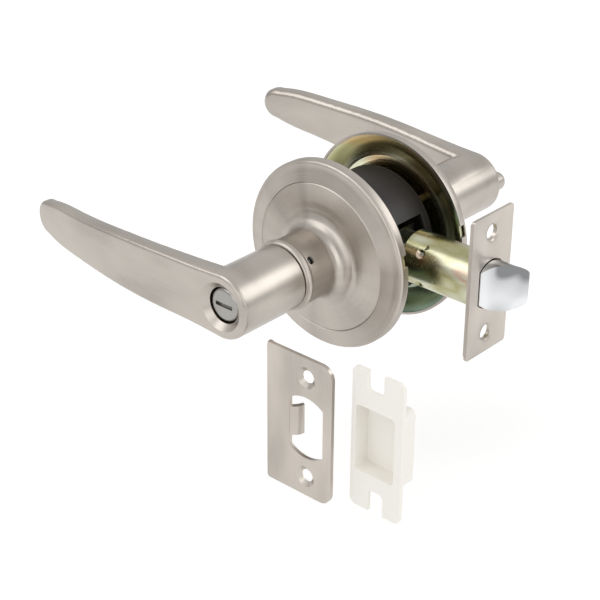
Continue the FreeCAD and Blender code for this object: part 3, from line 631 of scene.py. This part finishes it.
def moulded_plastic(name, color):
    """Matt ivory plastic, slightly translucent."""
    finish = Finish(name)
    finish.set(Metallic=0.0, Subsurface_Weight=0.25, Subsurface_Scale=2.0 * MM)
    grain = finish.noise((1400, 1400, 1400), 3.0)
    cloud = finish.noise((50, 50, 50))
    finish.join(finish.ramp(cloud, toned(color, PLASTIC_TONES)), "Base Color")
    finish.join(finish.spread(grain, 0.42, 0.55), "Roughness")
    finish.bump(grain, 0.15, 0.03 * MM)
    return finish.material


def finish_named(name, make, *args, **options):
    """Material of that name, made once."""
    return bpy.data.materials.get(name) or make(name, *args, **options)


def nickel(grain):
    """Satin nickel with one direction of grain."""
    rough = bpy.context.scene.lock_finishes.nickel_roughness
    return finish_named("satin_nickel_" + grain, satin_nickel, grain, rough)


def zinc():
    """Yellow passivated zinc."""
    return finish_named("passivated_zinc", passivated_zinc)


def dark_zinc():
    """Yellow zinc painted near black as painted shade for the retractor's guide in the dark chassis
    window; the screws share it.
    """
    return finish_named("dark_zinc", plain_metal, SHADE_DARKENED_ZINC, 0.3)


def bright_zinc():
    """Clear passivated zinc."""
    return finish_named("bright_zinc", plain_metal, BRIGHT_ZINC, 0.3)


def black_steel():
    """Black coating of the chassis."""
    color = tuple(bpy.context.scene.lock_finishes.black)
    return finish_named("black_steel", plain_metal, color, 0.5, metallic=0.0, grain=700, depth=0.03)


# Springs

def wind_return_spring(side, sizes):
    """Round wire in the place of a return spring."""
    node = side + "_return_spring"
    bottom, top = low(node), high(node)
    wire = sizes.spring_wire
    radius = (top.x - bottom.x) / 2 - wire / 2
    advance = (top.y - bottom.y - wire) / sizes.spring_turns
    coil = wound_wire(round_section(wire / 2, COIL_POINTS), radius, bottom.y + wire / 2, advance,
                      sizes.spring_turns, COIL_STEPS)
    add_piece(side + "_wound_spring", coil, bright_zinc(), ROOT, [node])


def wind_thread(side, sizes):
    """Thread on a hub sleeve, from its chassis cap to past the plate inside its rose."""
    cap, liner = side + "_chassis_cap", side + "_rose_liner"
    pitch = sizes.thread_pitch
    sign = -1 if side == "outside" else 1
    start = max(sign * high(cap).y, sign * low(cap).y) + pitch
    end = min(sign * high(liner).y, sign * low(liner).y) + THREAD_PAST * pitch
    ridge = [(-THREAD_SUNK, -THREAD_FOOT * pitch), (THREAD_RISE * pitch, 0),
             (-THREAD_SUNK, THREAD_FOOT * pitch)]
    thread = wound_wire(ridge, sizes.sleeve_radius, sign * start, sign * pitch,
                        (end - start) / pitch, COIL_STEPS)
    add_piece(side + "_sleeve_thread", thread, zinc(), ROOT)


def seat_catch_leaf(side):
    """Leaf spring of a catch as a piece with a mesh of its own, on its lever's handle."""
    node = side + "_catch_spring"
    leaf = add_piece(side + "_catch_leaf", node_copy(node), bright_zinc(), HANDLES[side],
                     [node])
    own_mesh(leaf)


def wind_pushed_spring(node, sizes):
    """Round wire along X in the place of a pushed spring, with a mesh of its own."""
    bottom, top = low(node), high(node)
    length, radius = top.x - bottom.x, (top.z - bottom.z) / 2
    wire = sizes.push_wire * radius
    turns = sizes.push_turns
    coil = wound_wire(round_section(wire / 2, PUSH_POINTS), radius - wire / 2, (wire - length) / 2,
                      (length - wire) / turns, turns, PUSH_STEPS)
    centre = (bottom + top) / 2
    piece = add_piece(node + "_wound", lay_along_x(coil, centre), bright_zinc(), ROOT,
                      [node])
    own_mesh(piece)


# Operators

class LOCK_OT_levers(bpy.types.Operator):
    """Dress both levers, their spindles and catches"""

    bl_idname = "lock.levers"
    bl_label = "Levers"

    def execute(self, context):
        for side in SIDES:
            dress_node(side + "_lever", nickel("long"))
            for part in ("lever_spindle", "lever_catch"):
                dress_node("%s_%s" % (side, part), bright_zinc())
        return {"FINISHED"}


class LOCK_OT_roses(bpy.types.Operator):
    """Dress the rose covers and the plates inside them"""

    bl_idname = "lock.roses"
    bl_label = "Roses"

    def execute(self, context):
        for side in SIDES:
            dress_node(side + "_rose_cover", nickel("ring"))
            liner = finish_named("passivated_liner", passivated_liner)
            dress_node(side + "_rose_liner", liner)
            dress_node(side + "_hub_sleeve", zinc())
        return {"FINISHED"}


class LOCK_OT_springs(bpy.types.Operator):
    """Wind the springs and the threads of the hub sleeves and seat the catch leaves"""

    bl_idname = "lock.springs"
    bl_label = "Springs and Threads"

    def execute(self, context):
        sizes = context.scene.lock_sizes
        for side in SIDES:
            wind_return_spring(side, sizes)
            wind_thread(side, sizes)
            seat_catch_leaf(side)
        for node, joint in PUSHED_SPRINGS:
            wind_pushed_spring(node, sizes)
        return {"FINISHED"}


class LOCK_OT_lock_turn(bpy.types.Operator):
    """Dress the thumb turn, the release disc and the bar between them"""

    bl_idname = "lock.lock_turn"
    bl_label = "Thumb Turn and Release Disc"

    def execute(self, context):
        steel = finish_named("disc_steel", plain_metal, DISC_STEEL, 0.24)
        dress_node("outside_release_disc", steel)
        dress_node("inside_turn_button", nickel("long"))
        dress_node("locking_bar", bright_zinc())
        dress_node("locking_cam", bright_zinc())
        return {"FINISHED"}


class LOCK_OT_chassis(bpy.types.Operator):
    """Dress the chassis, its screws and the retractor"""

    bl_idname = "lock.chassis"
    bl_label = "Chassis"

    def execute(self, context):
        edge = context.scene.lock_sizes.edge_round
        dress_node("chassis_housing", black_steel(), edge)
        for side in SIDES:
            dress_node(side + "_chassis_cap", black_steel())
        # the retractor's guide gets zinc painted dark for the shade in the chassis window; the
        # screws share it
        for part in ("mounting_screw_upper", "mounting_screw_lower", "retractor_guide"):
            dress_node(part, dark_zinc())
        dress_node("retractor_slide", zinc())
        return {"FINISHED"}


class LOCK_OT_latch(bpy.types.Operator):
    """Dress the latch from its tube to its bolt"""

    bl_idname = "lock.latch"
    bl_label = "Latch"

    def execute(self, context):
        sizes = context.scene.lock_sizes
        color = tuple(context.scene.lock_finishes.chrome)
        dress_node("latch_bolt", finish_named("polished_chrome", polished_chrome, color))
        for node, inset in (("latch_faceplate", 0.0), ("latch_backplate", sizes.backplate_step)):
            plate = latch_plate(node, inset)
            piece = add_piece(node + "_stamped", plate, nickel("upright"), ROOT,
                              [node])
            soften_edges(piece, sizes.edge_round, flat_faces=True)
        dress_node("latch_tube", zinc())
        for part in ("latch_bushing", "latch_tail"):
            dress_node(part, bright_zinc())
        return {"FINISHED"}


class LOCK_OT_strike(bpy.types.Operator):
    """Dress the strike plate"""

    bl_idname = "lock.strike"
    bl_label = "Strike Plate"

    def execute(self, context):
        dress_node("strike_plate", nickel("upright"), context.scene.lock_sizes.edge_round)
        return {"FINISHED"}


class LOCK_OT_dust_box(bpy.types.Operator):
    """Dress the dust box"""

    bl_idname = "lock.dust_box"
    bl_label = "Dust Box"

    def execute(self, context):
        color = tuple(context.scene.lock_finishes.ivory)
        plastic = finish_named("ivory_plastic", moulded_plastic, color)
        dress_node("dust_box", plastic, context.scene.lock_sizes.edge_round)
        return {"FINISHED"}


# Stage

def area_lamp(name, place, size, power):
    """Soft lamp that faces the lock's origin."""
    data = bpy.data.lights.new(name, "AREA")
    data.shape = "RECTANGLE"
    data.size, data.size_y = size
    data.energy = power
    lamp = bpy.data.objects.new(name, data)
    lamp.location = place
    lamp.rotation_euler = (-Vector(place)).to_track_quat("-Z", "Y").to_euler()
    bpy.context.scene.collection.objects.link(lamp)


def seen_by(tree, *rays):
    """1 where one of the named kinds of ray looks, else 0."""
    path = tree.nodes.new("ShaderNodeLightPath")
    seen = path.outputs[rays[0]]
    for ray in rays[1:]:
        either = tree.nodes.new("ShaderNodeMath")
        either.operation = "MAXIMUM"
        tree.links.new(seen, either.inputs[0])
        tree.links.new(path.outputs[ray], either.inputs[1])
        seen = either.outputs[0]
    return seen


def studio_world():
    """Even light, a white ground for the camera and a graded studio for gloss."""
    world = bpy.data.worlds.new("studio")
    world.use_nodes = True
    bpy.context.scene.world = world
    tree = world.node_tree
    nodes, links = tree.nodes, tree.links
    even = nodes["Background"]
    even.inputs["Color"].default_value = WHITE
    even.inputs["Strength"].default_value = EVEN_LIGHT
    coords = nodes.new("ShaderNodeTexCoord")
    split = nodes.new("ShaderNodeSeparateXYZ")
    lift = nodes.new("ShaderNodeMapRange")
    ramp = nodes.new("ShaderNodeValToRGB")
    graded = nodes.new("ShaderNodeBackground")
    white = nodes.new("ShaderNodeBackground")
    gloss = nodes.new("ShaderNodeMixShader")
    view = nodes.new("ShaderNodeMixShader")
    lift.inputs["From Min"].default_value = -1.0
    links.new(coords.outputs["Generated"], split.inputs[0])
    links.new(split.outputs["Z"], lift.inputs["Value"])
    links.new(lift.outputs["Result"], ramp.inputs[0])
    band = ramp.color_ramp
    while len(band.elements) < len(STUDIO_GREYS):
        band.elements.new(0.5)
    for element, (at, grey) in zip(band.elements, STUDIO_GREYS):
        element.position = at
        element.color = (grey, grey, grey, 1)
    links.new(ramp.outputs["Color"], graded.inputs["Color"])
    white.inputs["Color"].default_value = WHITE
    links.new(seen_by(tree, "Is Glossy Ray", "Is Transmission Ray"), gloss.inputs[0])
    links.new(even.outputs[0], gloss.inputs[1])
    links.new(graded.outputs[0], gloss.inputs[2])
    links.new(seen_by(tree, "Is Camera Ray"), view.inputs[0])
    links.new(gloss.outputs[0], view.inputs[1])
    links.new(white.outputs[0], view.inputs[2])
    links.new(view.outputs[0], nodes["World Output"].inputs["Surface"])


def stage_floor(height):
    """Pale floor that stays white to camera and gloss and keeps the shadow."""
    bm = bmesh.new()
    bmesh.ops.create_grid(bm, x_segments=1, y_segments=1, size=FLOOR_SIZE)
    bmesh.ops.translate(bm, verts=bm.verts, vec=(0, 0, height))
    mesh = bpy.data.meshes.new("floor")
    bm.to_mesh(mesh)
    bm.free()
    floor = bpy.data.objects.new("floor", mesh)
    bpy.context.scene.collection.objects.link(floor)
    finish = Finish("floor_white")
    finish.set(Roughness=0.9)
    finish.join(finish.ramp(finish.noise((3, 3, 3), 1.0), FLOOR_TONES), "Base Color")
    glow = finish.nodes.new("ShaderNodeEmission")
    glow.inputs["Strength"].default_value = FLOOR_GLOW
    both = finish.nodes.new("ShaderNodeAddShader")
    mix = finish.nodes.new("ShaderNodeMixShader")
    out = finish.nodes["Material Output"]
    finish.links.new(finish.shader.outputs[0], both.inputs[0])
    finish.links.new(glow.outputs[0], both.inputs[1])
    shown = seen_by(finish.material.node_tree, "Is Camera Ray", "Is Glossy Ray",
                    "Is Transmission Ray")
    finish.links.new(shown, mix.inputs[0])
    finish.links.new(finish.shader.outputs[0], mix.inputs[1])
    finish.links.new(both.outputs[0], mix.inputs[2])
    finish.links.new(mix.outputs[0], out.inputs["Surface"])
    mesh.materials.append(finish.material)


def studio_camera(look):
    """Camera at the photograph's place."""
    azimuth, elevation, roll = look.azimuth, look.elevation, look.roll
    back = Vector((math.sin(azimuth) * math.cos(elevation),
                   -math.cos(azimuth) * math.cos(elevation), math.sin(elevation)))
    right = Vector((math.cos(azimuth), math.sin(azimuth), 0))
    up = back.cross(right)
    turn = Matrix.Rotation(roll, 3, "Z") @ Matrix((right, up, back))
    data = bpy.data.cameras.new("studio_camera")
    data.sensor_width = SENSOR_WIDTH
    data.lens = look.focal
    data.clip_start = NEAR_CLIP
    camera = bpy.data.objects.new("studio_camera", data)
    place = -(turn.transposed() @ Vector(look.offset))
    camera.matrix_world = Matrix.Translation(place) @ turn.transposed().to_4x4()
    bpy.context.scene.collection.objects.link(camera)
    bpy.context.scene.camera = camera


class LOCK_OT_stage(bpy.types.Operator):
    """Set up floor, world, lamps and camera"""

    bl_idname = "lock.stage"
    bl_label = "Stage"

    def execute(self, context):
        look = context.scene.stage_look
        context.scene.view_settings.view_transform = "Standard"
        studio_world()
        stage_floor(low("strike_plate").z - look.floor_drop)
        for name, place, size, power in LAMPS:
            area_lamp(name, place, size, power)
        studio_camera(look)
        return {"FINISHED"}


class LOCK_PT_panel(bpy.types.Panel):
    """Shows a button for each dressing step in the sidebar"""

    bl_label = "Door Lock"
    bl_idname = "LOCK_PT_panel"
    bl_space_type = "VIEW_3D"
    bl_region_type = "UI"
    bl_category = "Door Lock"

    def draw(self, context):
        for operator in OPERATORS:
            self.layout.operator(operator.bl_idname)


OPERATORS = (
    LOCK_OT_levers, LOCK_OT_roses, LOCK_OT_springs, LOCK_OT_lock_turn, LOCK_OT_chassis,
    LOCK_OT_latch, LOCK_OT_strike, LOCK_OT_dust_box, LOCK_OT_stage,
)
CLASSES = (LockSizes, LockFinishes, StageLook) + OPERATORS + (LOCK_PT_panel,)


def register():
    """Register classes and scene settings."""
    for item in CLASSES:
        bpy.utils.register_class(item)
    bpy.types.Scene.lock_sizes = bpy.props.PointerProperty(type=LockSizes)
    bpy.types.Scene.lock_finishes = bpy.props.PointerProperty(type=LockFinishes)
    bpy.types.Scene.stage_look = bpy.props.PointerProperty(type=StageLook)


def unregister():
    """Remove scene settings and classes."""
    del bpy.types.Scene.stage_look
    del bpy.types.Scene.lock_finishes
    del bpy.types.Scene.lock_sizes
    for item in reversed(CLASSES):
        bpy.utils.unregister_class(item)


def main():
    """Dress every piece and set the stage."""
    register()
    bpy.ops.lock.levers()
    bpy.ops.lock.roses()
    bpy.ops.lock.springs()
    bpy.ops.lock.lock_turn()
    bpy.ops.lock.chassis()
    bpy.ops.lock.latch()
    bpy.ops.lock.strike()
    bpy.ops.lock.dust_box()
    bpy.ops.lock.stage()


if __name__ == "__main__":
    main()
